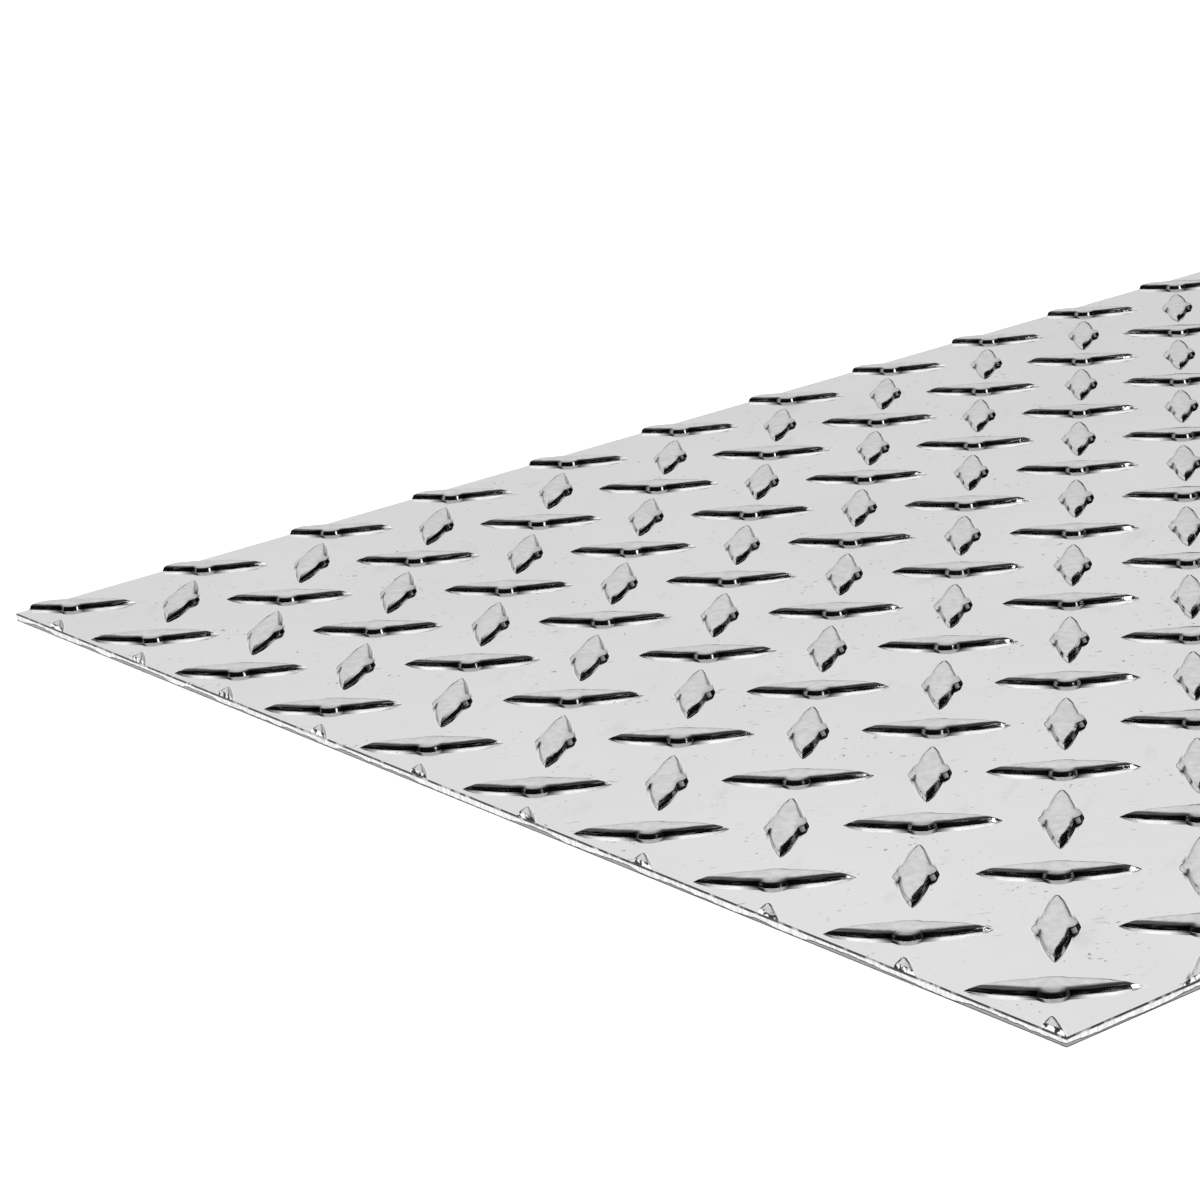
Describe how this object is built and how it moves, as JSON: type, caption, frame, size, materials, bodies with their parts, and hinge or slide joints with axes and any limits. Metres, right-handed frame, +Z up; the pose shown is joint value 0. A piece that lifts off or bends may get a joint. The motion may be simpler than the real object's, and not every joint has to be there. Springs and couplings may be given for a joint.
{
  "type": "tread plate",
  "caption": "Flat sheet of bright-rolled aluminium tread plate, with raised pointed lugs in alternate diagonal directions.",
  "frame": {"origin": "middle of the sheet's flat underside", "axes": "+X along the sheet's length, +Y across its width, +Z up out of the face with the lugs"},
  "size_m": [0.6096, 0.3048, 0.0026],
  "materials": {
    "bright_rolled_aluminium": "bright as rolled, with faint rolling lines and light scuffs"
  },
  "bodies": {
    "root": {"tread_sheet": "bright_rolled_aluminium"}
  },
  "joints": []
}
